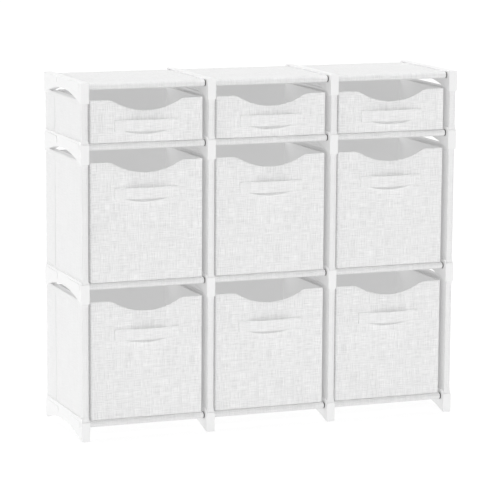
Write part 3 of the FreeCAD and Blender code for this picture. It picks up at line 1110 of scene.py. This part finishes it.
# ---- Shelves ----
@dataclass
class CoveredShelf:
    """A board in a cloth cover, with a half-round nose and four tongues."""

    level: Level
    column: Column
    width: float = 0.3016
    depth: float = 0.279
    thickness: float = 0.0165
    cloth: float = 0.0012
    tongue_length: float = 0.072
    tongue_thickness: float = 0.012
    tongue_y: float = 0.09105
    reach: float = 0.0097
    tongue_root: float = 0.004
    tongue_edge: float = 0.0006
    # Size of the near-black plugs that paint the shadow in the gap at each nose's end.
    plug_length: float = 0.0205
    plug_reach: float = 0.0013
    plug_shy: float = 0.0006
    stitch_margin: float = 0.007

    @property
    def name(self) -> str:
        """The shelf's name."""
        return f"{self.level.name.lower()}_shelf_{self.column.name.lower()}"

    @staticmethod
    def section(length: float, height: float, flats: int,
                turns: int) -> list[tuple[float, float, float, float]]:
        """A bar's section with straight faces and half-round ends, anticlockwise from its right.

        Args:
            length: Its size along y.
            height: Its size along z.
            flats: How many steps each straight face has.
            turns: How many steps each round end has.

        Returns:
            y, z and the outward direction's y and z of each point.
        """
        radius = height / 2
        reach = length / 2 - radius
        places: list[tuple[float, float, float, float]] = []
        for side in (1, -1):
            for step in range(flats):
                places.append((side * (-reach + 2 * reach * step / flats), -side * radius, 0.0, -side))
            for step in range(turns):
                turn = -side * math.pi / 2 + math.pi * step / turns
                away = (math.cos(turn), math.sin(turn))
                places.append((side * reach + radius * away[0], radius * away[1], *away))
        return places

    def bar(self, draft: Draft, section: Sequence[tuple[float, float, float, float]],
            stops: Sequence[tuple[float, float]], y: float, finish: int = 0) -> None:
        """Draw a bar along x.

        Args:
            draft: The mesh to add it to.
            section: Its section.
            stops: x from the column's middle, and how far the skin lies inside the section there.
            y: y of the section's middle.
            finish: Which of the piece's materials it has.
        """
        middle = self.level.value - self.thickness / 2
        rings = []
        for x, inset in stops:
            rings.append([Vector((self.column.value + x, y + py - ny * inset, middle + pz - nz * inset))
                          for py, pz, ny, nz in section])
        across = running_total(rings[len(rings) // 2])
        along = [[self.column.value + x] * len(section) for x, _ in stops]
        draft.skin(rings, across, along, [finish] * (len(stops) - 1), (1, 2))

    def cover(self, wardrobe: Wardrobe) -> bpy.types.Object:
        """Sew the cover: a closed envelope drawn tight over the board."""
        half = self.width / 2
        ends = ((0.0, 0.0018), (0.0004, 0.0008), (0.0012, 0.0002), (0.0022, 0.0))
        stops = [(-half + x, inset) for x, inset in ends]
        stops += [(-half + self.width * share, 0.0) for share in even(24)[1:-1]]
        stops += [(half - x, inset) for x, inset in reversed(ends)]
        draft = Draft()
        self.bar(draft, self.section(self.depth, self.thickness, 18, 12), stops, 0.0)
        piece = draft.build(self.name + "_cover", (wardrobe.shelf_cloth,), 60.0)
        solid = piece.modifiers.new("cloth", "SOLIDIFY")
        solid.thickness = self.cloth
        solid.offset = -1.0
        return piece

    def tongues(self, wardrobe: Wardrobe) -> bpy.types.Object:
        """Mould the tongues that go into the brackets, and the near-black plugs in the noses' ends, which
        are painted shadow for the gap between each shelf's end and its bracket.
        """
        draft = Draft()
        edge, shy, half = self.tongue_edge, self.plug_shy, self.width / 2
        tongue = self.section(self.tongue_length, self.tongue_thickness, 6, 8)
        plug = self.section(self.plug_length, self.thickness - shy, 3, 12)
        for side in (-1, 1):
            start, end = sorted((side * (half - self.tongue_root), side * (half + self.reach - 0.0005)))
            stops = [(start, edge), (start + edge, 0.0), (end - edge, 0.0), (end, edge)]
            for y in (-self.tongue_y, self.tongue_y):
                self.bar(draft, tongue, stops, y)
            # Painted shadow: a near-black plug in the nose's end, filling the shaded gap beside the
            # bracket.
            stops = [(x, 0.0) for x in sorted((side * (half - shy), side * (half + self.plug_reach)))]
            for end in (-1, 1):
                self.bar(draft, plug, stops, end * (self.depth - self.plug_length - shy) / 2, 1)
        return draft.build(self.name + "_tongues", (wardrobe.moulding, wardrobe.plug))

    def seams(self) -> list[list[Vector]]:
        """The lines of stitches: round the cover just inside each end."""
        section = self.section(self.depth, self.thickness, 18, 12)
        middle = self.level.value - self.thickness / 2
        lines = []
        reach = self.width / 2 - self.stitch_margin
        for x in (-reach, reach):
            lines.append([Vector((self.column.value + x, y + ny * CLEAR, middle + z + nz * CLEAR))
                          for y, z, ny, nz in section + section[:1]])
        return lines

    def build(self, wardrobe: Wardrobe) -> list[list[Vector]]:
        """Make the shelf, settle it on the frame and give the lines that its stitches follow."""
        cover = self.cover(wardrobe)
        tongues = self.tongues(wardrobe)
        settle(cover, "frame", "frame_fabric", self.name)
        settle(tongues, "frame", "moulded_plastic")
        tongues.name
        return self.seams()


# ---- The moulded and painted parts ----
def dress_frame(nodes: dict[str, bpy.types.Object], wardrobe: Wardrobe) -> None:
    """Give the brackets, socket covers and posts their finishes.

    Args:
        nodes: The frame's own objects.
        wardrobe: The finishes.
    """
    for name, node in nodes.items():
        if "bracket" in name or name == "socket_covers":
            # The moulding's glow is painted light on the brackets' shaded faces.
            finish = wardrobe.moulding
        elif name == "posts":
            finish = wardrobe.steel
        else:
            continue
        if not node.material_slots:
            node.data.materials.append(finish)
        for place in node.material_slots:
            place.link = "OBJECT"
            place.material = finish
        log.info("%s: %s", name, finish.name)


# ---- Studio ----
@dataclass(frozen=True)
class Studio:
    """Pale floor, soft light and the camera."""

    place: tuple[float, float, float] = (-2.4040, -6.1445, 1.5420)
    heading: float = -0.3727
    tilt: float = 0.1670
    roll: float = 0.0069
    lens: float = 188.0
    sky: float = 0.04
    horizon: float = 0.06
    haze: float = 0.45
    floor_reach: float = 40.0
    bounces: int = 10

    def camera(self) -> None:
        """Set up the camera."""
        data = bpy.data.cameras.new("studio_camera")
        data.lens = self.lens
        data.sensor_width = 36.0
        data.clip_end = 200.0
        camera = bpy.data.objects.new("studio_camera", data)
        right = Vector((math.cos(self.heading), math.sin(self.heading), 0))
        ahead = Vector((-math.sin(self.heading), math.cos(self.heading), 0))
        view = ahead * math.cos(self.tilt) - Vector((0, 0, math.sin(self.tilt)))
        up = Vector((0, 0, math.cos(self.tilt))) + ahead * math.sin(self.tilt)
        right, up = (right * math.cos(self.roll) + up * math.sin(self.roll),
                     up * math.cos(self.roll) - right * math.sin(self.roll))
        turned = Matrix((right, up, -view)).transposed().to_4x4()
        camera.matrix_world = Matrix.Translation(self.place) @ turned
        bpy.context.scene.collection.objects.link(camera)
        bpy.context.scene.camera = camera

    def bank(self, name: str, source: tuple[float, float, float], strength: float, spread: float) -> None:
        """Light the studio evenly from a broad bank of lamps, far off in one direction.

        Args:
            name: The light's name.
            source: The direction that it shines from.
            strength: Its strength.
            spread: The angle that the bank fills, in radians.
        """
        data = bpy.data.lights.new(name, "SUN")
        data.energy = strength
        data.angle = spread
        light = bpy.data.objects.new(name, data)
        light.rotation_euler = (-Vector(source)).to_track_quat("-Z", "Y").to_euler()
        bpy.context.scene.collection.objects.link(light)

    def floor(self) -> None:
        """Lay the floor."""
        reach = self.floor_reach
        corners = [(-reach, -reach), (reach, -reach), (reach, reach), (-reach, reach)]
        draft = Draft([Vector((x, y, -0.2 * MM)) for x, y in corners])
        draft.face([0, 1, 2, 3], corners, 0)
        paint = FloorPaint("studio_floor", grey(0.24), glow=0.80).make()
        draft.build("studio_floor", (paint,))

    def light(self) -> None:
        """Fill the studio with soft white light."""
        world = bpy.data.worlds.new("studio_sky")
        world.use_nodes = True
        bench = Bench(world.node_tree)
        way = bench.node("ShaderNodeTexCoord")
        rise = bench.axes(way.outputs["Generated"])[2].size()
        low = rise.join("MAXIMUM", 1.0 - rise * (1.0 / self.haze), 0.0)
        sky = bench.node("ShaderNodeBackground", None,
                         {"Color": (1.0, 1.0, 1.0, 1.0), "Strength": self.sky + low * self.horizon})
        bench.node("ShaderNodeOutputWorld", None, {"Surface": sky.outputs[0]})
        bpy.context.scene.world = world
        self.bank("front_bank", (0.2, -1.0, 0.68), 1.35, 0.06)
        self.bank("left_fill", (-1.0, -0.5, 0.3), 0.45, 0.9)
        self.bank("left_bank", (-1.0, 0.6, 0.35), 1.3, 0.6)
        self.bank("right_bank", (1.0, 0.8, 0.6), 0.4, 0.8)
        self.bank("top_bank", (0.0, 0.1, 1.0), 2.1, 0.3)
        bpy.context.scene.view_settings.view_transform = "Standard"
        bpy.context.scene.cycles.diffuse_bounces = self.bounces

    def build(self) -> None:
        """Set the studio up."""
        self.camera()
        self.floor()
        self.light()


def main() -> None:
    """Build the looks round the frame, sub-assembly by sub-assembly."""
    logging.basicConfig(level=logging.INFO, format="%(message)s")
    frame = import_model()
    Studio().build()
    wardrobe = Wardrobe.stocked()
    stitches = StitchTree(wardrobe.thread)
    dress_frame(frame["nodes"], wardrobe)
    for storey in Storey:
        for column in Column:
            FabricBin(storey, column).build(wardrobe, stitches)
    for storey in Storey:
        lines = [line for gable in Gable for line in SideSleeve(storey, gable).build(wardrobe)]
        settle(stitches.sew(f"{storey.name.lower()}_sleeve_stitching", lines), "frame", "frame_fabric")
    for level in Level:
        lines = [line for column in Column for line in CoveredShelf(level, column).build(wardrobe)]
        settle(stitches.sew(f"{level.name.lower()}_shelf_stitching", lines), "frame", "frame_fabric")


if __name__ == "__main__":
    main()
